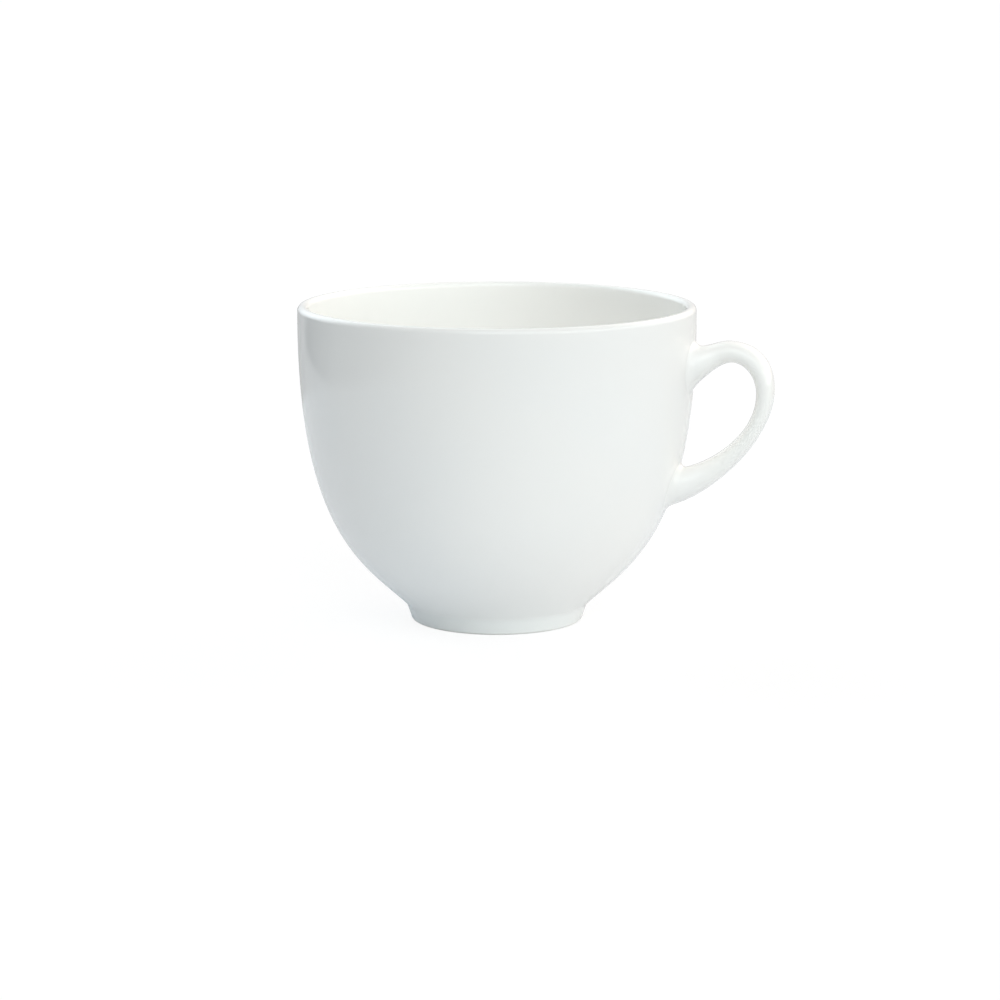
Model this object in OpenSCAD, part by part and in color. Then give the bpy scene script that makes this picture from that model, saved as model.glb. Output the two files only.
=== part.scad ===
// A handled bone china cup: a thin bowl, a stuck-on foot ring and a cast handle,
// held together by three joints of clay slip that fired with them.
// Millimetres. The origin is the middle of the foot on the table, +Z is up and
// the handle points along +X.

/* [Bowl] */
// Outside diameter of the rim
rim_d = 86; // [80:1:96]
// Height of the cup, from the table to the top of the lip
cup_h = 69; // [64:1:78]
// Thickness of the wall at the rim, where the lip is fully rounded
lip_t = 2.3; // [1.8:0.1:3]
// Thickness of the wall low on the belly
belly_t = 2.6; // [2:0.1:3.4]
// Thickness of the floor
floor_t = 2.9; // [2.2:0.1:4]
// Radius of the level middle of the floor
floor_r = 9; // [6:0.5:12]
// Height of the upright band under the lip's rounding
band_h = 2.4; // [1:0.1:6]
// Lean of the belly where it meets the foot, from the upright
belly_lean = 45; // [38:1:50]
// Share of its drop for which the side stays close to upright
side_share = 0.76; // [0.7:0.01:0.8]
// Share of the overhang by which the belly swings out above the foot
belly_share = 0.54; // [0.45:0.01:0.62]

/* [Foot ring] */
// Height of the foot, from the table to the underside of the bowl
foot_h = 3.5; // [2.6:0.1:3.9]
// Outside diameter of the foot at its top
foot_d = 39.6; // [34:0.2:46]
// How far the outside of the foot draws in on its way down
foot_draft = 1; // [0.4:0.1:1.8]
// How far the inside of the foot opens out on its way down
foot_inner_draft = 0.7; // [0.3:0.1:1.5]
// Width of the foot at the table, with its rounded edges
foot_w = 2.8; // [2.2:0.1:4]
// Rounding of the two lower edges of the foot
foot_edge_r = 0.7; // [0.3:0.1:1]

/* [Handle] */
// Reach of the handle beyond the rim
handle_reach = 17.3; // [14:0.1:22]
// Drop from the lip to the top of the handle's arch
handle_drop = 6.7; // [4:0.1:9]
// Height of the handle, from the top of the arch to its lowest corner
handle_h = 35.9; // [32:0.1:38]
// Width of the strap, across the handle
strap_w = 8; // [6:0.1:10]
// Thickness of the strap at the top of the arch
arch_t = 4.5; // [3.6:0.1:5.4]
// Thickness of the strap at its outermost point
side_t = 3.8; // [3:0.1:4.8]
// Distance of the top of the arch beyond the rim
arch_out = 7.3; // [6:0.1:9]
// Drop from the top of the arch to the handle's outermost point
side_drop = 10.3; // [8:0.1:13]
// Drop from the top of the arch to the top of the upper root
upper_root_drop = 1.3; // [0.6:0.1:2.4]
// Height of the upper root
upper_root_h = 9; // [7:0.1:11]
// Width of the upper root
upper_root_w = 10.6; // [8:0.1:13]
// Height of the lower root
lower_root_h = 8.1; // [6:0.1:10]
// Width of the lower root
lower_root_w = 9.4; // [8:0.1:13]

/* [Slip joints] */
// Thickness of the slip between two pieces
film_t = 0.35; // [0.2:0.05:0.6]
// Reach of the slip's rounded edge round a handle root
root_fillet = 1.4; // [1.1:0.1:1.8]
// Thickness left where the slip's rounded edge round a handle root runs out
root_edge_t = 0.08; // [0.05:0.01:0.15]
// Reach of the slip's rounded edge round the foot ring
foot_fillet = 0.8; // [0.4:0.1:1.2]

/* [Hidden] */
$fn = 96;

// Glazed bone china, slightly warm
china = [0.95, 0.95, 0.92];

// Clearance of the handle's slip joints on the curved wall
seat_gap = 0.02;

// How far the underside of the arch lies beyond its top
arch_shift = 1.1;
// How much lower the inside of the loop has its outermost point
side_shift = 1;
// Distance from a root over which the strap narrows to its own width
flare_l = 7;
// Distance from a root over which the strap takes up the curve of the wall
seat_l = 3;

// Slopes of the loop at its roots, from the level
outer_upper_slope = 0;
inner_upper_slope = 44;
outer_lower_slope = 12.5;
inner_lower_slope = 12;

// Pulls of the handle's curves, as shares of the distance that each one covers
outer_pull_shares = [0.41, 0.30, 0.58, 0.64, 0.44, 0.39];
inner_pull_shares = [0.51, 0.31, 0.45, 0.62, 0.50, 0.44];
// Share of the side's curve after which the inside turns towards the floor
floor_turn_share = 0.8;
// Exponent of the strap's oval section: 2 is an ellipse, more is squarer
section_power = 2.3;

// Numbers of steps along the curves
side_steps = 48;
floor_steps = 12;
lip_steps = 16;
edge_steps = 8;
fillet_steps = 5;
strap_sides = 28;
strap_steps = [12, 18, 24];
cap_steps = 3;
seat_steps = 4;

// Curves

function bend(a, b, c, t) = (1 - t) * (1 - t) * a + 2 * t * (1 - t) * b + t * t * c;
function cubic(p, t) = (1 - t) * bend(p[0], p[1], p[2], t) + t * bend(p[1], p[2], p[3], t);
function heading(p, t) = let (d = bend(p[1] - p[0], p[2] - p[1], p[3] - p[2], t)) d / norm(d);
function steps(n) = [for (i = [0:n]) i / n];
function arc(centre, r, from, to, n) =
    [for (t = steps(n)) let (a = from + (to - from) * t) centre + r * [cos(a), sin(a)]];
function reversed(list) = [for (i = [len(list) - 1:-1:0]) list[i]];
// Falls smoothly from 1 to 0 while q goes from 0 to 1
function fade(q) = q >= 1 ? 0 : (1 - q) * (1 - q) * (1 + 2 * q);

// Bowl

rim_r = rim_d / 2;
foot_r = foot_d / 2;
lip_r = lip_t / 2;
lip_z = cup_h - lip_r;
band_z = lip_z - band_h;
side_pull = side_share * (band_z - foot_h);
belly_pull = belly_share * (rim_r - foot_r);
side_curve = [
    [rim_r, band_z],
    [rim_r, band_z - side_pull],
    [foot_r, foot_h] + belly_pull * [sin(belly_lean), cos(belly_lean)],
    [foot_r, foot_h]
];
side_points = [for (t = steps(side_steps)) cubic(side_curve, t)];

function wall_t(t) = lip_t + (belly_t - lip_t) * t;
function inside_point(t) =
    let (h = heading(side_curve, t)) cubic(side_curve, t) + wall_t(t) * [h.y, -h.x];

floor_z = foot_h + floor_t;
turn_point = inside_point(floor_turn_share);
turn_heading = heading(side_curve, floor_turn_share);
turn_corner = turn_point + turn_heading * (floor_z - turn_point.y) / turn_heading.y;
inside_points = [for (t = steps(side_steps)) inside_point(t * floor_turn_share)];
floor_points = [for (t = steps(floor_steps)) bend(turn_point, turn_corner, [floor_r, floor_z], t)];

bowl_outline = concat(
    [[0, foot_h]],
    reversed(side_points),
    arc([rim_r - lip_r, lip_z], lip_r, 0, 180, lip_steps),
    inside_points,
    [for (i = [1:floor_steps]) floor_points[i]],
    [[0, floor_z]]
);

// Radius of the bowl's outside at a height
side_table = concat([for (p = reversed(side_points)) [p.y, p.x]], [[lip_z, rim_r]]);
function outer_r(z) = lookup(z, side_table);
// Distance from the middle plane to the wall, stood off by e
function wall_x(z, y, e) = sqrt(pow(outer_r(z) + e, 2) - y * y);

module bowl() {
    color(china) rotate_extrude() polygon(bowl_outline);
}

// Foot ring

foot_top_z = foot_h - film_t;
foot_low_r = foot_r - foot_draft;
foot_inner_low_r = foot_low_r - foot_w;
foot_inner_r = foot_inner_low_r - foot_inner_draft;
// Radii of the foot's two sides at a height
function foot_outer_at(z) = foot_low_r + foot_draft * (z - foot_edge_r) / (foot_h - foot_edge_r);
function foot_inner_at(z) = foot_inner_low_r - foot_inner_draft * (z - foot_edge_r) / (foot_h - foot_edge_r);

module foot_ring() {
    color(china) rotate_extrude() polygon(concat(
        arc([foot_low_r - foot_edge_r, foot_edge_r], foot_edge_r, -90, 0, edge_steps),
        [[foot_outer_at(foot_top_z), foot_top_z], [foot_inner_at(foot_top_z), foot_top_z]],
        arc([foot_inner_low_r + foot_edge_r, foot_edge_r], foot_edge_r, 180, 270, edge_steps)
    ));
}

// Slip under the bowl, with a hollow rounded edge on both sides of the foot ring
module foot_slip_joint() {
    fillet_z = foot_top_z - foot_fillet;
    outer_edge = [
        [foot_r, foot_h] + foot_fillet * [sin(belly_lean), cos(belly_lean)],
        [foot_r, foot_h],
        [foot_outer_at(foot_top_z), foot_top_z],
        [foot_outer_at(fillet_z), fillet_z]
    ];
    inner_edge = [
        [foot_inner_at(fillet_z), fillet_z],
        [foot_inner_at(foot_top_z), foot_top_z],
        [foot_inner_at(foot_h), foot_h],
        [foot_inner_at(foot_h) - foot_fillet, foot_h]
    ];
    color(china) rotate_extrude() polygon(concat(
        [[foot_r, foot_h]],
        [for (t = steps(fillet_steps)) cubic(outer_edge, t)],
        [[foot_outer_at(foot_top_z), foot_top_z], [foot_inner_at(foot_top_z), foot_top_z]],
        [for (t = steps(fillet_steps)) cubic(inner_edge, t)]
    ));
}

// Handle

arch_z = cup_h - handle_drop;
upper_top_z = arch_z - upper_root_drop;
upper_low_z = upper_top_z - upper_root_h;
lower_low_z = arch_z - handle_h;
lower_top_z = lower_low_z + lower_root_h;
side_x = rim_r + handle_reach;

function toward(slope, l) = l * [cos(slope), sin(slope)];

// One side of the loop, as three curves: root to arch, arch to side, side to root
function loop_curves(a, arch, side, d, a_slope, d_slope, shares) = [
    [
        a,
        a + toward(a_slope, shares[0] * (arch.x - a.x)),
        arch - [shares[1] * (arch.x - a.x), 0],
        arch
    ],
    [
        arch,
        arch + [shares[2] * (side.x - arch.x), 0],
        side + [0, shares[3] * (arch.y - side.y)],
        side
    ],
    [
        side,
        side - [0, shares[4] * (side.y - d.y)],
        d + toward(d_slope, shares[5] * (side.x - d.x)),
        d
    ]
];
outer_curves = loop_curves(
    [wall_x(upper_top_z, 0, film_t), upper_top_z],
    [rim_r + arch_out, arch_z],
    [side_x, arch_z - side_drop],
    [wall_x(lower_low_z, 0, film_t), lower_low_z],
    outer_upper_slope, outer_lower_slope, outer_pull_shares
);
inner_curves = loop_curves(
    [wall_x(upper_low_z, 0, film_t), upper_low_z],
    [rim_r + arch_out + arch_shift, arch_z - arch_t],
    [side_x - side_t, arch_z - side_drop - side_shift],
    [wall_x(lower_top_z, 0, film_t), lower_top_z],
    inner_upper_slope, inner_lower_slope, inner_pull_shares
);

// The first ring beyond each root is where the slip's rounded edge ends
upper_edge_t = root_fillet / (3 * norm(outer_curves[0][1] - outer_curves[0][0]));
lower_edge_t = 1 - root_fillet / (3 * norm(outer_curves[2][3] - outer_curves[2][2]));
strap_stations = concat(
    [[0, 0]],
    [for (t = steps(strap_steps[0])) [0, upper_edge_t + (1 - upper_edge_t) * t]],
    [for (i = [1:strap_steps[1]]) [1, i / strap_steps[1]]],
    [for (i = [1:strap_steps[2]]) [2, lower_edge_t * i / strap_steps[2]]],
    [[2, 1]]
);
last_station = len(strap_stations) - 1;

function outer_at(i) = let (s = strap_stations[i]) cubic(outer_curves[s[0]], s[1]);
function inner_at(i) = let (s = strap_stations[i]) cubic(inner_curves[s[0]], s[1]);
function middle(i) = (outer_at(i) + inner_at(i)) / 2;
function from_root(i, root) = norm(middle(i) - middle(root));
function half_width(i) = strap_w / 2
    + (upper_root_w - strap_w) / 2 * fade(from_root(i, 0) / flare_l)
    + (lower_root_w - strap_w) / 2 * fade(from_root(i, last_station) / flare_l);

function oval(v) = sign(v) * pow(abs(v), 2 / section_power);
// A point of the strap's section, grown by g, before its ends take up the curve of the wall
function section_point(i, a, g) =
    let (
        half = (outer_at(i) - inner_at(i)) / 2,
        p = middle(i) + half * (1 + g / norm(half)) * oval(cos(a))
    )
    [p.x, (half_width(i) + g) * oval(sin(a)), p.y];
function seat_shift(root, a) = let (p = section_point(root, a, 0)) wall_x(p.z, p.y, film_t) - p.x;
function ring(i, g = 0) = [
    for (k = [0:strap_sides - 1])
    let (
        a = 360 * k / strap_sides,
        shift = seat_shift(0, a) * fade(from_root(i, 0) / seat_l)
            + seat_shift(last_station, a) * fade(from_root(i, last_station) / seat_l)
    )
    section_point(i, a, g) + [shift, 0, 0]
];
// Rings of the strap from a root to the slip's upper edge, closest together at the root
function seat_rings(root, next) =
    [for (t = steps(fillet_steps)) (1 - t * t) * ring(root) + t * t * ring(next)];

// A root's outline on the wall: scaled by q, grown by g and stood off by e
function root_point(root, a, q, g, e) =
    let (
        half_h = (outer_at(root).y - inner_at(root).y) / 2,
        z = middle(root).y + half_h * (q + g / abs(half_h)) * oval(cos(a)),
        y = (q * half_width(root) + g) * oval(sin(a))
    )
    [wall_x(z, y, e), y, z];
function root_ring(root, q, g, e) =
    [for (k = [0:strap_sides - 1]) root_point(root, 360 * k / strap_sides, q, g, e)];

// A closed skin over rings of points, drawn to a point at each end
module skin(first, rings, last, flip = false) {
    n = len(rings[0]);
    m = len(rings);
    points = concat([for (r = rings) each r], [first, last]);
    faces = concat(
        [for (k = [0:n - 1]) [m * n, (k + 1) % n, k]],
        [
            for (r = [0:m - 2], k = [0:n - 1])
            let (a = r * n + k, b = r * n + (k + 1) % n)
            each [[a, b, b + n], [a, b + n, a + n]]
        ],
        [for (k = [0:n - 1]) [m * n + 1, (m - 1) * n + k, (m - 1) * n + (k + 1) % n]]
    );
    polyhedron(points, flip ? [for (f = faces) reversed(f)] : faces);
}

upper_cap = [for (i = [1:cap_steps - 1]) root_ring(0, i / cap_steps, 0, film_t)];
lower_cap = [for (i = [1:cap_steps - 1]) root_ring(last_station, i / cap_steps, 0, film_t)];

module handle() {
    color(china) skin(
        root_point(0, 0, 0, 0, film_t),
        concat(
            upper_cap,
            seat_rings(0, 1),
            [for (i = [2:last_station - 2]) ring(i)],
            reversed(seat_rings(last_station, last_station - 1)),
            reversed(lower_cap)
        ),
        root_point(last_station, 0, 0, 0, film_t)
    );
}

// Slip between a root and the wall: a film with a hollow rounded edge round the root
function slip_edge(root, next) =
    let (
        top = ring(next, root_edge_t),
        strap_pull = (top + 2 * ring(root, root_edge_t)) / 3,
        wall_pull = root_ring(root, 1, root_fillet / 3 + film_t, seat_gap + root_edge_t),
        foot = root_ring(root, 1, root_fillet, seat_gap + root_edge_t)
    )
    [
        for (t = steps(fillet_steps))
        [for (k = [0:strap_sides - 1]) cubic([top[k], strap_pull[k], wall_pull[k], foot[k]], t)]
    ];
function slip_seat(root) = [
    for (i = [seat_steps:-1:1])
    let (q = i / seat_steps) root_ring(root, q, q * root_fillet, seat_gap)
];
function slip_rings(root, next, cap) =
    concat(cap, seat_rings(root, next), slip_edge(root, next), slip_seat(root));

module upper_slip_joint() {
    color(china) skin(
        root_point(0, 0, 0, 0, film_t),
        slip_rings(0, 1, upper_cap),
        root_point(0, 0, 0, 0, seat_gap),
        flip = true
    );
}

module lower_slip_joint() {
    color(china) skin(
        root_point(last_station, 0, 0, 0, seat_gap),
        reversed(slip_rings(last_station, last_station - 1, lower_cap)),
        root_point(last_station, 0, 0, 0, film_t),
        flip = true
    );
}

bowl();
foot_ring();
foot_slip_joint();
handle();
upper_slip_joint();
lower_slip_joint();
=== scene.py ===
"""A plain white bone china cup under soft studio light: thin bowl, stuck-on foot ring, cast handle
and the slip that holds them, all under one clear glaze.

Lengths are in metres. +Z is up and +X is the handle's side.
"""

import math

import bpy
import numpy as np
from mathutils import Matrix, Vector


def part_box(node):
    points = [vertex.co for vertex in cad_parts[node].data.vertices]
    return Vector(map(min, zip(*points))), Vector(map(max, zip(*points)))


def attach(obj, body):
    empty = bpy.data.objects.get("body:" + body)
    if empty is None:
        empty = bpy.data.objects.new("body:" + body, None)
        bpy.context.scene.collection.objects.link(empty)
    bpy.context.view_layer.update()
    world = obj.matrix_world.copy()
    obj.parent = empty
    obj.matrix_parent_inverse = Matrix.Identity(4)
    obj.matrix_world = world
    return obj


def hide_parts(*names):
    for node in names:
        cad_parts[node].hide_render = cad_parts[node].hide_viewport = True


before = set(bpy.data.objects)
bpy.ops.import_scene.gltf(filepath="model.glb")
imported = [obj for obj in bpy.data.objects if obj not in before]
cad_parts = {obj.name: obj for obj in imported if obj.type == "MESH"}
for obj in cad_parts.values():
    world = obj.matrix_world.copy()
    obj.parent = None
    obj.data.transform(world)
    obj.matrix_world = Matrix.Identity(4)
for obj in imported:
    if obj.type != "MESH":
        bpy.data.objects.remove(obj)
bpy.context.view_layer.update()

MM = 0.001
bowl_low, bowl_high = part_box("bowl")
handle_low, handle_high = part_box("handle")

# Bowl
RIM_R = bowl_high[0]
CUP_H = bowl_high[2]
LIP_T = 2.3 * MM
BELLY_T = 2.6 * MM
FLOOR_T = 2.9 * MM
FLOOR_R = 9 * MM
BAND_H = 2.4 * MM
BELLY_LEAN = math.radians(45)
SIDE_SHARE = 0.76
BELLY_SHARE = 0.54
FLOOR_TURN_SHARE = 0.8

# Foot ring
FOOT_H = bowl_low[2]
FOOT_R = 19.8 * MM
FOOT_DRAFT = 1.0 * MM
FOOT_INNER_DRAFT = 0.7 * MM
FOOT_W = 2.8 * MM
FOOT_EDGE_R = 0.7 * MM

# Slip joints
FILM_T = 0.35 * MM
ROOT_FILLET = 1.4 * MM
FOOT_FILLET = 0.8 * MM
# The slip's thin edges end just under the surfaces that they run out on, so that no crack shows
EDGE_SINK = 0.004 * MM

# Handle
SIDE_X = handle_high[0]
ARCH_Z = handle_high[2]
LOWER_LOW_Z = handle_low[2]
STRAP_W = 8 * MM
ARCH_T = 4.5 * MM
SIDE_T = 3.8 * MM
ARCH_OUT = 7.3 * MM
ARCH_SHIFT = 1.1 * MM
SIDE_DROP = 10.3 * MM
SIDE_SHIFT = 1.0 * MM
UPPER_ROOT_DROP = 1.3 * MM
UPPER_ROOT_H = 9 * MM
UPPER_ROOT_W = 10.6 * MM
LOWER_ROOT_H = 8.1 * MM
LOWER_ROOT_W = 9.4 * MM
FLARE_L = 7 * MM
SEAT_L = 3 * MM
OUTER_UPPER_SLOPE = 0.0
INNER_UPPER_SLOPE = math.radians(44)
OUTER_LOWER_SLOPE = math.radians(12.5)
INNER_LOWER_SLOPE = math.radians(12)
OUTER_PULL_SHARES = (0.41, 0.30, 0.58, 0.64, 0.44, 0.39)
INNER_PULL_SHARES = (0.51, 0.31, 0.45, 0.62, 0.50, 0.44)
SECTION_POWER = 2.3

# Numbers of steps in the meshes
AROUND = 256
SIDE_STEPS = 96
FLOOR_STEPS = 32
LIP_STEPS = 20
EDGE_STEPS = 10
FILLET_STEPS = 14
FOOT_FILLET_STEPS = 10
STRAP_SIDES = 64
STRAP_STEPS = (40, 60, 80)
CAP_STEPS = 4
SEAT_STEPS = 6

# Camera, found from the outline of the cup in the photograph
CAMERA_TURN = math.radians(12)
CAMERA_PITCH = math.radians(10.58)
CAMERA_DISTANCE = 0.669
CAMERA_HEIGHT = 0.1509
CAMERA_LENS_MM = 112.35
CAMERA_SENSOR_MM = 36
CAMERA_SHIFT = 0.00304
CAMERA_NEAR, CAMERA_FAR = 0.05, 50


# Curves


def bend(a, b, c, t):
    return (1 - t) ** 2 * a + 2 * t * (1 - t) * b + t * t * c


def cubic(points, t):
    a, b, c, d = points
    return (1 - t) * bend(a, b, c, t) + t * bend(b, c, d, t)


def heading(points, t):
    a, b, c, d = points
    along = bend(b - a, c - b, d - c, t)
    return along / np.linalg.norm(along)


def arc(centre, radius, start, end, steps):
    angles = np.radians(np.linspace(start, end, steps + 1))
    return [centre + radius * np.array([math.cos(a), math.sin(a)]) for a in angles]


def fade(q):
    """Falls smoothly from 1 to 0 while q goes from 0 to 1"""
    return 0.0 if q >= 1 else (1 - q) ** 2 * (1 + 2 * q)


def point(*values):
    return np.array(values, float)


# Outline of the bowl


def side_curve():
    band_z = CUP_H - LIP_T / 2 - BAND_H
    belly_pull = BELLY_SHARE * (RIM_R - FOOT_R)
    return (
        point(RIM_R, band_z),
        point(RIM_R, band_z - SIDE_SHARE * (band_z - FOOT_H)),
        point(FOOT_R, FOOT_H) + belly_pull * point(math.sin(BELLY_LEAN), math.cos(BELLY_LEAN)),
        point(FOOT_R, FOOT_H),
    )


def inside_point(side, t):
    along = heading(side, t)
    thickness = LIP_T + (BELLY_T - LIP_T) * t
    return cubic(side, t) + thickness * point(along[1], -along[0])


def bowl_outline():
    side = side_curve()
    floor_z = FOOT_H + FLOOR_T
    turn = inside_point(side, FLOOR_TURN_SHARE)
    along = heading(side, FLOOR_TURN_SHARE)
    corner = turn + along * (floor_z - turn[1]) / along[1]
    outside = [cubic(side, t) for t in np.linspace(1, 0, SIDE_STEPS + 1)]
    lip = arc(point(RIM_R - LIP_T / 2, CUP_H - LIP_T / 2), LIP_T / 2, 0, 180, LIP_STEPS)
    inside = [inside_point(side, t) for t in np.linspace(0, FLOOR_TURN_SHARE, SIDE_STEPS + 1)]
    level = point(FLOOR_R, floor_z)
    floor = [bend(turn, corner, level, t) for t in np.linspace(0, 1, FLOOR_STEPS + 1)[1:]]
    return [point(0, FOOT_H), *outside, *lip, *inside, *floor, point(0, floor_z)]


SIDE_TABLE = np.array([cubic(side_curve(), t) for t in np.linspace(1, 0, 4 * SIDE_STEPS + 1)])


def wall_x(z, y, stand_off):
    """Distance of the wall from the middle plane at a height, stood off from it"""
    radius = np.interp(z, SIDE_TABLE[:, 1], SIDE_TABLE[:, 0]) + stand_off
    return math.sqrt(radius**2 - y**2)


# Outlines of the foot ring and of the slip above it


def foot_outer_at(z):
    return FOOT_R - FOOT_DRAFT * (FOOT_H - z) / (FOOT_H - FOOT_EDGE_R)


def foot_inner_at(z):
    top = FOOT_R - FOOT_DRAFT - FOOT_W - FOOT_INNER_DRAFT
    return top + FOOT_INNER_DRAFT * (FOOT_H - z) / (FOOT_H - FOOT_EDGE_R)


def foot_outline():
    top_z = FOOT_H - FILM_T
    low_r = FOOT_R - FOOT_DRAFT
    outer_edge = arc(point(low_r - FOOT_EDGE_R, FOOT_EDGE_R), FOOT_EDGE_R, -90, 0, EDGE_STEPS)
    inner_edge = arc(point(low_r - FOOT_W + FOOT_EDGE_R, FOOT_EDGE_R), FOOT_EDGE_R, 180, 270, EDGE_STEPS)
    heights = np.linspace(FOOT_EDGE_R, top_z, EDGE_STEPS)[1:]
    outer = [point(foot_outer_at(z), z) for z in heights]
    inner = [point(foot_inner_at(z), z) for z in heights[::-1]]
    return outer_edge + outer + inner + inner_edge


def foot_slip_outline():
    top_z = FOOT_H - FILM_T
    edge_z = top_z - FOOT_FILLET
    side = side_curve()
    belly_t = 1 - FOOT_FILLET / (3 * np.linalg.norm(side[3] - side[2]))
    along = heading(side, belly_t)
    outer = (
        cubic(side, belly_t) + EDGE_SINK * point(along[1], -along[0]),
        point(FOOT_R, FOOT_H),
        point(foot_outer_at(top_z), top_z),
        point(foot_outer_at(edge_z) - EDGE_SINK, edge_z),
    )
    inner = (
        point(foot_inner_at(edge_z) + EDGE_SINK, edge_z),
        point(foot_inner_at(top_z), top_z),
        point(foot_inner_at(FOOT_H), FOOT_H),
        point(foot_inner_at(FOOT_H) - FOOT_FILLET, FOOT_H + EDGE_SINK),
    )
    steps = np.linspace(1, 0, FOOT_FILLET_STEPS + 1)
    return [
        *[cubic(inner, t) for t in steps],
        point(foot_inner_at(top_z), top_z),
        point(foot_outer_at(top_z), top_z),
        *[cubic(outer, t) for t in steps],
        point(FOOT_R, FOOT_H),
    ]


# The handle's loop, as an outer and an inner run of three curves


def toward(slope, length):
    return length * point(math.cos(slope), math.sin(slope))


def loop_curves(root, arch, side, low_root, root_slope, low_slope, shares):
    across, down = arch[0] - root[0], side[1] - low_root[1]
    return (
        (
            root,
            root + toward(root_slope, shares[0] * across),
            arch - point(shares[1] * across, 0),
            arch,
        ),
        (
            arch,
            arch + point(shares[2] * (side[0] - arch[0]), 0),
            side + point(0, shares[3] * (arch[1] - side[1])),
            side,
        ),
        (
            side,
            side - point(0, shares[4] * down),
            low_root + toward(low_slope, shares[5] * (side[0] - low_root[0])),
            low_root,
        ),
    )


def on_wall(z):
    return point(wall_x(z, 0, FILM_T), z)


UPPER_TOP_Z = ARCH_Z - UPPER_ROOT_DROP
OUTER_CURVES = loop_curves(
    on_wall(UPPER_TOP_Z),
    point(RIM_R + ARCH_OUT, ARCH_Z),
    point(SIDE_X, ARCH_Z - SIDE_DROP),
    on_wall(LOWER_LOW_Z),
    OUTER_UPPER_SLOPE,
    OUTER_LOWER_SLOPE,
    OUTER_PULL_SHARES,
)
INNER_CURVES = loop_curves(
    on_wall(UPPER_TOP_Z - UPPER_ROOT_H),
    point(RIM_R + ARCH_OUT + ARCH_SHIFT, ARCH_Z - ARCH_T),
    point(SIDE_X - SIDE_T, ARCH_Z - SIDE_DROP - SIDE_SHIFT),
    on_wall(LOWER_LOW_Z + LOWER_ROOT_H),
    INNER_UPPER_SLOPE,
    INNER_LOWER_SLOPE,
    INNER_PULL_SHARES,
)


def strap_stations():
    """Places along the loop, as curve and share; the end steps reach to the slip's rounded edges"""
    first, last = OUTER_CURVES[0], OUTER_CURVES[2]
    upper = ROOT_FILLET / (3 * np.linalg.norm(first[1] - first[0]))
    lower = 1 - ROOT_FILLET / (3 * np.linalg.norm(last[3] - last[2]))
    return (
        [(0, 0)]
        + [(0, t) for t in np.linspace(upper, 1, STRAP_STEPS[0] + 1)]
        + [(1, t) for t in np.linspace(0, 1, STRAP_STEPS[1] + 1)[1:]]
        + [(2, t) for t in np.linspace(0, lower, STRAP_STEPS[2] + 1)[1:]]
        + [(2, 1)]
    )


STATIONS = strap_stations()
UPPER, LOWER = 0, len(STATIONS) - 1
ANGLES = np.linspace(0, 2 * math.pi, STRAP_SIDES, endpoint=False)


def span_at(i):
    """Middle of the strap and half of its thickness, both in the middle plane"""
    curve, t = STATIONS[i]
    outer, inner = cubic(OUTER_CURVES[curve], t), cubic(INNER_CURVES[curve], t)
    return (outer + inner) / 2, (outer - inner) / 2


def from_root(i, root):
    return np.linalg.norm(span_at(i)[0] - span_at(root)[0])


def half_width(i):
    upper = (UPPER_ROOT_W - STRAP_W) / 2 * fade(from_root(i, UPPER) / FLARE_L)
    lower = (LOWER_ROOT_W - STRAP_W) / 2 * fade(from_root(i, LOWER) / FLARE_L)
    return STRAP_W / 2 + upper + lower


def oval(v):
    return math.copysign(abs(v) ** (2 / SECTION_POWER), v)


def section_point(i, angle):
    middle, half = span_at(i)
    x, z = middle + half * oval(math.cos(angle))
    return point(x, half_width(i) * oval(math.sin(angle)), z)


def seat_shift(root, angle):
    x, y, z = section_point(root, angle)
    return wall_x(z, y, FILM_T) - x


def strap_ring(i):
    near_upper = fade(from_root(i, UPPER) / SEAT_L)
    near_lower = fade(from_root(i, LOWER) / SEAT_L)
    ring = []
    for angle in ANGLES:
        shift = seat_shift(UPPER, angle) * near_upper + seat_shift(LOWER, angle) * near_lower
        ring.append(section_point(i, angle) + point(shift, 0, 0))
    return ring


def seat_rings(root, after):
    """Rings from a root to the slip's upper edge, closest together at the root"""
    low, high = np.array(strap_ring(root)), np.array(strap_ring(after))
    return [(1 - t * t) * low + t * t * high for t in np.linspace(0, 1, FILLET_STEPS + 1)]


def root_point(root, angle, scale, grow, stand_off):
    """A point of a root's outline on the wall: scaled, grown and stood off"""
    middle, half = span_at(root)
    z = middle[1] + half[1] * (scale + grow / abs(half[1])) * oval(math.cos(angle))
    y = (scale * half_width(root) + grow) * oval(math.sin(angle))
    return point(wall_x(z, y, stand_off), y, z)


def root_ring(root, scale, grow, stand_off):
    return [root_point(root, angle, scale, grow, stand_off) for angle in ANGLES]


def root_cap(root):
    return [root_ring(root, i / CAP_STEPS, 0, FILM_T) for i in range(1, CAP_STEPS)]


# Meshes


def make_piece(name, vertices, faces, sharp=()):
    mesh = bpy.data.meshes.new(name)
    mesh.from_pydata([tuple(v) for v in vertices], [], faces)
    mesh.validate()
    mesh.shade_smooth()
    sharp_edges = {tuple(sorted(edge)) for edge in sharp}
    for edge in mesh.edges:
        edge.use_edge_sharp = tuple(sorted(edge.vertices)) in sharp_edges
    mesh.update()
    piece = bpy.data.objects.new(name, mesh)
    bpy.context.scene.collection.objects.link(piece)
    return piece


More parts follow.
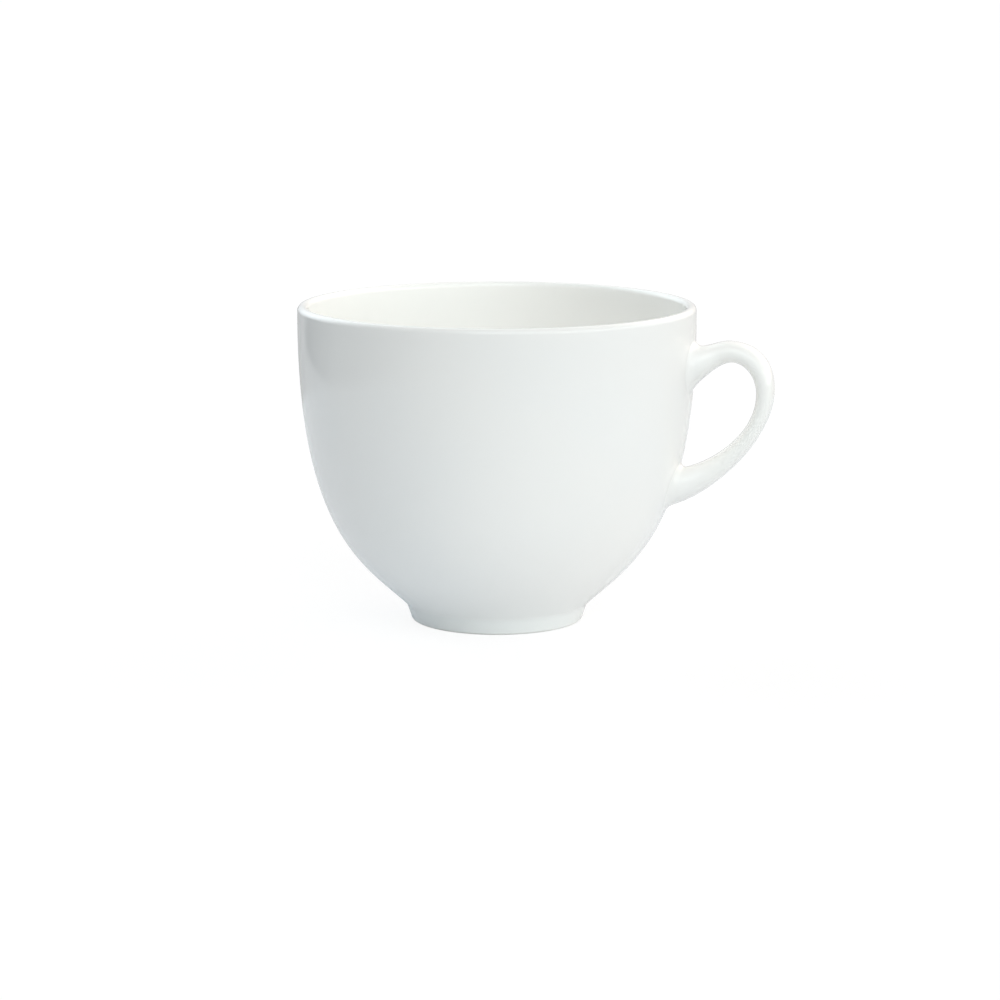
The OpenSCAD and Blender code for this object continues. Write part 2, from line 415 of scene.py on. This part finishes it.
def turned(name, outline, sharp_corners=()):
    """A closed outline of radius and height, turned about the cup's axis; a point at radius 0 is a pole"""
    vertices, rows = [], []
    for radius, z in outline:
        if radius == 0:
            rows.append([len(vertices)] * AROUND)
            vertices.append((0.0, 0.0, z))
            continue
        rows.append(list(range(len(vertices), len(vertices) + AROUND)))
        for k in range(AROUND):
            a = 2 * math.pi * k / AROUND
            vertices.append((radius * math.cos(a), radius * math.sin(a), z))
    faces, sharp = [], []
    for i, row in enumerate(rows):
        after = rows[(i + 1) % len(rows)]
        if row[0] == row[1] and after[0] == after[1]:
            continue
        for k in range(AROUND):
            j = (k + 1) % AROUND
            corners = [row[k], row[j], after[j], after[k]]
            faces.append(list(dict.fromkeys(corners)))
            if i in sharp_corners:
                sharp.append((row[k], row[j]))
    return make_piece(name, vertices, faces, sharp)


def skinned(name, first, rings, last, sharp_rings=(), inside_out=False):
    """A closed skin over rings of points, drawn to a point at each end"""
    n, m = len(rings[0]), len(rings)
    vertices = [v for ring in rings for v in ring] + [first, last]
    faces, sharp = [], []
    for k in range(n):
        j = (k + 1) % n
        faces.append([k, j, m * n])
        faces.append([(m - 1) * n + j, (m - 1) * n + k, m * n + 1])
        for r in range(m - 1):
            faces.append([r * n + k, r * n + n + k, r * n + n + j, r * n + j])
        for r in sharp_rings:
            sharp.append((r * n + k, r * n + j))
    if inside_out:
        faces = [face[::-1] for face in faces]
    return make_piece(name, vertices, faces, sharp)


def make_bowl():
    foot_corner = 1
    return turned("bowl_china", bowl_outline(), sharp_corners=(foot_corner,))


def make_foot_ring():
    top_outer = 2 * EDGE_STEPS - 1
    return turned("foot_ring_china", foot_outline(), sharp_corners=(top_outer, top_outer + 1))


def make_foot_slip():
    """Sharp at the ends of both hollow edges and at the corners of the film between them"""
    n = FOOT_FILLET_STEPS + 1
    corners = (0, n - 1, n, n + 1, n + 2, 2 * n + 1, 2 * n + 2)
    return turned("foot_slip", foot_slip_outline(), sharp_corners=corners)


def make_handle():
    upper_cap, lower_cap = root_cap(UPPER), root_cap(LOWER)
    upper_end = seat_rings(UPPER, UPPER + 1)
    strap = [strap_ring(i) for i in range(UPPER + 2, LOWER - 1)]
    lower_end = seat_rings(LOWER, LOWER - 1)
    rings = upper_cap + upper_end + strap + lower_end[::-1] + lower_cap[::-1]
    seats = (len(upper_cap), len(rings) - 1 - len(lower_cap))
    return skinned(
        "handle_china",
        root_point(UPPER, 0, 0, 0, FILM_T),
        rings,
        root_point(LOWER, 0, 0, 0, FILM_T),
        sharp_rings=seats,
    )


def slip_rings(root, after):
    """Film under the root, up the strap, down the hollow edge and back along the wall"""
    strap = seat_rings(root, after)
    top, corner = strap[-1], strap[0]
    strap_pull = (top + 2 * corner) / 3
    wall_pull = np.array(root_ring(root, 1, ROOT_FILLET / 3 + FILM_T, 0))
    foot = np.array(root_ring(root, 1, ROOT_FILLET, -EDGE_SINK))
    run = (top, strap_pull, wall_pull, foot)
    edge = [cubic(run, t) for t in np.linspace(0, 1, FILLET_STEPS + 1)[1:]]
    seat = [
        root_ring(root, q, q * ROOT_FILLET, -EDGE_SINK)
        for q in np.linspace(1, 0, SEAT_STEPS + 1)[1:-1]
    ]
    cap = root_cap(root)
    sharp = (len(cap), len(cap) + FILLET_STEPS, len(cap) + 2 * FILLET_STEPS)
    return cap + strap + edge + seat, sharp


def make_upper_slip():
    rings, sharp = slip_rings(UPPER, UPPER + 1)
    film_middle = root_point(UPPER, 0, 0, 0, FILM_T)
    wall_middle = root_point(UPPER, 0, 0, 0, -EDGE_SINK)
    return skinned("upper_slip", film_middle, rings, wall_middle, sharp, inside_out=True)


def make_lower_slip():
    rings, sharp = slip_rings(LOWER, LOWER - 1)
    film_middle = root_point(LOWER, 0, 0, 0, FILM_T)
    wall_middle = root_point(LOWER, 0, 0, 0, -EDGE_SINK)
    last = len(rings) - 1
    sharp = [last - r for r in sharp]
    return skinned("lower_slip", wall_middle, rings[::-1], film_middle, sharp, inside_out=True)


# Shader sums


class Wire:
    """A socket in a sum: Math nodes for values, Vector Math for vectors and Mix for colours"""

    # Where a Mix node has its factor, its two colours and their mix
    COLOUR_SLOTS = (0, 6, 7, 2)

    def __init__(self, tree, socket=None):
        self.tree = tree
        self.socket = socket

    def node(self, kind, settings=None, sockets=None, out=0):
        made = self.tree.nodes.new("ShaderNode" + kind)
        for name, value in (settings or {}).items():
            setattr(made, name, value)
        for name, value in (sockets or {}).items():
            self.feed(made.inputs[name], value)
        return Wire(self.tree, made.outputs[out])

    def output(self, name):
        """Another output of the node that this socket is on"""
        return Wire(self.tree, self.socket.node.outputs[name])

    def feed(self, target, value):
        if isinstance(value, Wire):
            self.tree.links.new(value.socket, target)
        else:
            target.default_value = value

    @staticmethod
    def is_kind(value, kind):
        return isinstance(value, Wire) and value.socket.type == kind

    def sum(self, operation, first, second):
        pair = (first, second)
        if any(self.is_kind(v, "RGBA") for v in pair):
            factor, a, b, out = self.COLOUR_SLOTS
            settings = {"data_type": "RGBA", "blend_type": operation}
            return self.node("Mix", settings, {factor: 1.0, a: first, b: second}, out)
        if any(self.is_kind(v, "VECTOR") for v in pair):
            return self.node("VectorMath", {"operation": operation}, dict(enumerate(pair)))
        return self.node("Math", {"operation": operation}, dict(enumerate(pair)))

    def __add__(self, other):
        return self.sum("ADD", self, other)

    def __radd__(self, other):
        return self.sum("ADD", other, self)

    def __sub__(self, other):
        return self.sum("SUBTRACT", self, other)

    def __rsub__(self, other):
        return self.sum("SUBTRACT", other, self)

    def __mul__(self, other):
        return self.sum("MULTIPLY", self, other)

    def __rmul__(self, other):
        return self.sum("MULTIPLY", other, self)

    def __pow__(self, other):
        return self.sum("POWER", self, other)

    def smooth(self, start, end):
        """0 below start, 1 above end and a smooth step between"""
        settings = {"interpolation_type": "SMOOTHSTEP"}
        return self.node("MapRange", settings, {"Value": self, "From Min": start, "From Max": end})

    def between(self, low, high):
        """The colour low where this is 0 and high where it is 1"""
        factor, a, b, out = self.COLOUR_SLOTS
        return self.node("Mix", {"data_type": "RGBA"}, {factor: self, a: low, b: high}, out)


def new_material(name):
    material = bpy.data.materials.new(name)
    material.use_nodes = True
    material.node_tree.nodes.clear()
    return material, Wire(material.node_tree)


def finish_surface(start, shader, kind="OutputMaterial"):
    output = start.tree.nodes.new("ShaderNode" + kind)
    start.tree.links.new(shader.socket, output.inputs["Surface"])


# Finishes

# White china, and the slightly cooler white that it drifts to
CHINA = (0.95, 0.94, 0.92, 1)
CHINA_COOL = (0.94, 0.935, 0.92, 1)
DRIFT_SIZE = 35 * MM
DRIFT_STEP = (0.35, 0.65)

# Painted light: the inside of the bowl and the strap away from its roots are painted a paler, warmer
# white, which stands in for the warm light that thin china lets through
CHINA_GLOW_PAINT = (0.973, 0.967, 0.94, 1)
LIP_STEP = 4 * MM

# The glaze: slow waves and a fine ripple in its skin, and an uneven polish
GLAZE_IOR = 1.5
WAVE_SIZE, WAVE_H = 14 * MM, 0.020 * MM
RIPPLE_SIZE, RIPPLE_H = 1.6 * MM, 0.0012 * MM
POLISH_SIZE = 6 * MM
POLISH_BEST, POLISH_RANGE = 0.05, 0.06

# Painted shade: the glaze is painted greyer in the corner above the foot and down its side, where shade
# falls near the table
CHINA_FOOT_SHADE = (0.905, 0.905, 0.89, 1)
SHADE_BELOW, SHADE_ABOVE = 0.4 * MM, 0.55 * MM
FOOT_POLISH = 0.08

# The standing edge is wiped for firing: bare up to a line that wanders, rubbed and finely grained
BISCUIT = (0.84, 0.82, 0.78, 1)
GLAZE_LINE_Z = 0.45 * MM
GLAZE_LINE_SOFT = 0.08 * MM
LINE_WANDER_SIZE, LINE_WANDER = 5 * MM, 0.25 * MM
RUB_SIZE = 2.2 * MM
RUB_STEP = (0.5, 0.75)
BARE_TINT, RUBBED_TINT = 0.6, 0.4
BARE_DULLNESS = 0.55
GRAIN_SIZE, GRAIN_H = 0.18 * MM, 0.010 * MM


def place(start):
    return start.node("TexCoord", out="Object")


def noise(start, at, size, detail=2.0):
    """Soft noise whose features are about size across"""
    return start.node("TexNoise", sockets={"Vector": at, "Scale": 1 / size, "Detail": detail}, out="Fac")


def glaze_height(start, at):
    """Metres by which the glaze stands up: slow waves, and the fine ripple of its skin"""
    waves = noise(start, at, WAVE_SIZE, detail=1.0) * WAVE_H
    ripple = noise(start, at, RIPPLE_SIZE) * RIPPLE_H
    return waves + ripple


def dot(start, first, second):
    return start.node("VectorMath", {"operation": "DOT_PRODUCT"}, {0: first, 1: second}, out="Value")


def length(start, vector):
    return start.node("VectorMath", {"operation": "LENGTH"}, {0: vector}, out="Value")


def coated(start, colour, roughness, height):
    """A glazed surface whose skin stands up by a height in metres"""
    skin = start.node("Bump", sockets={"Strength": 1.0, "Distance": 1.0, "Height": height})
    return start.node(
        "BsdfPrincipled",
        sockets={
            "Base Color": colour,
            "Roughness": roughness,
            "IOR": GLAZE_IOR,
            "Normal": skin,
        },
    )


# Places the painted glow of let-through light on the inside of the bowl
def inside_share(start, at):
    """1 on the inside of the bowl, 0 on its outside, with the step on the lip"""
    outward = start.node("TexCoord", out="Normal")
    from_mouth = at - (0, 0, CUP_H)
    return 1 - dot(start, outward, from_mouth).smooth(-LIP_STEP, LIP_STEP)


# Places the painted glow of let-through light on the strap
def away_from_wall(start, at):
    """0 at the handle's roots and 1 from a little way out along the strap"""
    return length(start, at * (1, 1, 0)).smooth(RIM_R, RIM_R + FLARE_L)


def glazed_china(name, glow_part):
    """Glaze over white china; glow_part gives the share of the paler, warmer painted light at a place"""
    material, start = new_material(name)
    at = place(start)
    drift = noise(start, at, DRIFT_SIZE).smooth(*DRIFT_STEP)
    # Where the glow share is 1 the china is painted paler and warmer: painted light let through thin china
    colour = glow_part(start, at).between(drift.between(CHINA_COOL, CHINA), CHINA_GLOW_PAINT)
    polish = POLISH_BEST + POLISH_RANGE * noise(start, at, POLISH_SIZE, detail=3.0)
    finish_surface(start, coated(start, colour, polish, glaze_height(start, at)))
    return material


def foot_china():
    """Glazed sides over a wiped, unglazed standing edge"""
    material, start = new_material("foot_glaze")
    at = place(start)
    height = start.node("SeparateXYZ", sockets={"Vector": at}, out="Z")
    wander = (noise(start, at, LINE_WANDER_SIZE) - 0.5) * LINE_WANDER
    line = (height + wander).smooth(GLAZE_LINE_Z - GLAZE_LINE_SOFT, GLAZE_LINE_Z + GLAZE_LINE_SOFT)
    bare = 1 - line
    rub = noise(start, at, RUB_SIZE, detail=4.0).smooth(*RUB_STEP) * bare
    # Painted shade: greyer from a little above the foot's top down its side
    foot_shade = 1 - height.smooth(FOOT_H - SHADE_BELOW, FOOT_H + SHADE_ABOVE)
    glazed = foot_shade.between(CHINA, CHINA_FOOT_SHADE)
    colour = (bare * (BARE_TINT + RUBBED_TINT * rub)).between(glazed, BISCUIT)
    polish = FOOT_POLISH + bare * BARE_DULLNESS
    grain = noise(start, at, GRAIN_SIZE, detail=3.0) * bare * GRAIN_H
    finish_surface(start, coated(start, colour, polish, glaze_height(start, at) + grain))
    return material


# The cup


def dress(piece, node, material):
    piece.data.materials.append(material)
    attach(piece, "root")
    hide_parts(node)


def build_cup():
    # The inside of the bowl and the strap get painted light, a paler, warmer white
    bowl = glazed_china("bowl_glaze", inside_share)
    strap = glazed_china("strap_glaze", away_from_wall)
    foot = foot_china()
    dress(make_bowl(), "bowl", bowl)
    dress(make_foot_ring(), "foot_ring", foot)
    dress(make_foot_slip(), "foot_slip_joint", foot)
    dress(make_handle(), "handle", strap)
    dress(make_upper_slip(), "upper_slip_joint", strap)
    dress(make_lower_slip(), "lower_slip_joint", strap)


# Studio: a white table in a dim room, lit by large soft patches of light

WHITE = (1, 1, 1, 1)
FLOOR_HALF = 9.0
TABLE_R = 0.285
# Half of the width over which the table's edge and the edge of the dark gap turn
EDGE_SOFT = 0.008
TABLE_PAINT = (0.835, 0.85, 0.87, 1)
ROOM_PAINT = (0.12, 0.12, 0.12, 1)
# The camera sees the floor lit in part and lifted to white, so that it keeps a faint shadow
SEEN_PAINT = (0.20, 0.20, 0.20, 1)
SEEN_LIFT = 0.83

# Turns in the studio go about the cup's axis in degrees, from 0 at the camera's right,
# counter-clockwise from above: 90 is behind the cup and 270 is the camera's side.
# White screens stand round the room beyond the table and show only in the glaze.
SCREEN_GLOW = 0.65
# Over these turns they get dimmer, by this share
DIM_FROM = (60, 100)
DIM_SHARE = 0.35
# Left of this line is a dark gap, from the first turns to the last. It shows only in the glaze: a painted
# dark reflection
GAP_X = -0.29
DARK_FROM, DARK_TO = (126, 137), (190, 245)
GAP_MIRRORED_PAINT = (0.01, 0.01, 0.01, 1)
# From these turns on the gap is lit again by this share
CORNER_FROM = (159, 168)
CORNER_SHARE = 0.3


def turn_of(start, at):
    x = start.node("SeparateXYZ", sockets={"Vector": at}, out="X")
    angle = start.node("Math", {"operation": "ARCTAN2"}, {0: x.output("Y"), 1: x})
    degrees = angle * math.degrees(1) - math.degrees(CAMERA_TURN)
    return start.node("Math", {"operation": "FLOORED_MODULO"}, {0: degrees, 1: 360.0})


def lit_share(turn):
    """Share of the gap's dark that is lifted, from its corner round to the camera"""
    return CORNER_SHARE * turn.smooth(*CORNER_FROM) + (1 - CORNER_SHARE) * turn.smooth(*DARK_TO)


def floor_material():
    material, start = new_material("pale_floor")
    at = place(start)
    rays = start.node("LightPath")
    seen = rays.output("Is Camera Ray")
    mirrored = rays.output("Is Glossy Ray") + rays.output("Is Transmission Ray")
    beyond = length(start, at).smooth(TABLE_R - EDGE_SOFT, TABLE_R + EDGE_SOFT)
    turn = turn_of(start, at)
    camera_right = (math.cos(CAMERA_TURN), math.sin(CAMERA_TURN), 0)
    right_of_gap = dot(start, at, camera_right).smooth(GAP_X - EDGE_SOFT, GAP_X + EDGE_SOFT)
    gap = turn.smooth(*DARK_FROM) * (1 - right_of_gap)
    dark = 1 - lit_share(turn)
    dim = DIM_SHARE * turn.smooth(*DIM_FROM) + (1 - DIM_SHARE) * gap
    glow = beyond * (1 - dim * dark) * SCREEN_GLOW
    # Painted reflection: the gap is painted near black only for rays that the glaze mirrors
    room = (mirrored * gap * dark).between(ROOM_PAINT, GAP_MIRRORED_PAINT)
    paint = seen.between(beyond.between(TABLE_PAINT, room), SEEN_PAINT)
    matt = start.node("BsdfDiffuse", sockets={"Color": paint})
    strength = seen * SEEN_LIFT + mirrored * glow
    lift = start.node("Emission", sockets={"Color": WHITE, "Strength": strength})
    finish_surface(start, start.node("AddShader", sockets={0: matt, 1: lift}))
    return material


def make_floor():
    corners = [(x * FLOOR_HALF, y * FLOOR_HALF, 0.0) for x, y in ((-1, -1), (1, -1), (1, 1), (-1, 1))]
    floor = make_piece("floor", corners, [[0, 1, 2, 3]])
    floor.data.materials.append(floor_material())


# Soft patches of light in the sky: turn and elevation in degrees, strength at the middle, colour
PATCHES = {
    "right": (0, 5, 1.51, (0.94, 1.0, 1.03, 1)),
    "front_right": (315, 5, 2.12, (0.98, 1.0, 0.95, 1)),
    "behind_right": (45, 30, 1.80, (1.12, 1.0, 0.92, 1)),
    "behind_left": (135, 30, 2.62, (0.91, 1.0, 1.05, 1)),
    "front": (270, 30, 1.23, (0.84, 1.0, 1.03, 1)),
    "overhead_front": (270, 55, 1.42, (1.05, 1.0, 1.0, 1)),
}
PATCH_POWER = 8
# The sky's even glow, seen only in the glaze
SKY_GLOW = 0.65


def toward_patch(turn, elevation):
    turn, elevation = math.radians(turn) + CAMERA_TURN, math.radians(elevation)
    flat = math.cos(elevation)
    return (math.cos(turn) * flat, math.sin(turn) * flat, math.sin(elevation))


def patch_light(start, view, turn, elevation, strength, colour):
    facing = dot(start, view, toward_patch(turn, elevation))
    shape = start.node("Math", {"operation": "MAXIMUM"}, {0: facing, 1: 0.0}) ** PATCH_POWER
    return start.node("Background", sockets={"Color": colour, "Strength": shape * strength})


def make_world():
    world = bpy.data.worlds.new("studio")
    world.use_nodes = True
    world.node_tree.nodes.clear()
    start = Wire(world.node_tree)
    view = start.node("TexCoord", out="Generated")
    rays = start.node("LightPath")
    light = start.node("Background", sockets={"Strength": 0.0})
    for patch in PATCHES.values():
        light = start.node("AddShader", sockets={0: light, 1: patch_light(start, view, *patch)})
    white = start.node("Background", sockets={"Color": WHITE, "Strength": 1.0})
    mirrored = rays.output("Is Glossy Ray") + rays.output("Is Transmission Ray")
    glow = start.node("Background", sockets={"Color": WHITE, "Strength": mirrored * SKY_GLOW})
    light = start.node("AddShader", sockets={0: light, 1: glow})
    shown = start.node("MixShader", sockets={"Fac": rays.output("Is Camera Ray"), 1: light, 2: white})
    finish_surface(start, shown, "OutputWorld")
    bpy.context.scene.world = world


def make_camera():
    data = bpy.data.cameras.new("camera")
    data.sensor_width = CAMERA_SENSOR_MM
    data.lens = CAMERA_LENS_MM
    data.shift_x = CAMERA_SHIFT
    data.clip_start = CAMERA_NEAR
    data.clip_end = CAMERA_FAR
    camera = bpy.data.objects.new("camera", data)
    bpy.context.scene.collection.objects.link(camera)
    camera.location = (
        CAMERA_DISTANCE * math.sin(CAMERA_TURN),
        -CAMERA_DISTANCE * math.cos(CAMERA_TURN),
        CAMERA_HEIGHT,
    )
    camera.rotation_euler = (math.pi / 2 - CAMERA_PITCH, 0, CAMERA_TURN)
    bpy.context.scene.camera = camera


build_cup()
make_floor()
make_world()
make_camera()
bpy.context.scene.view_settings.view_transform = "Standard"
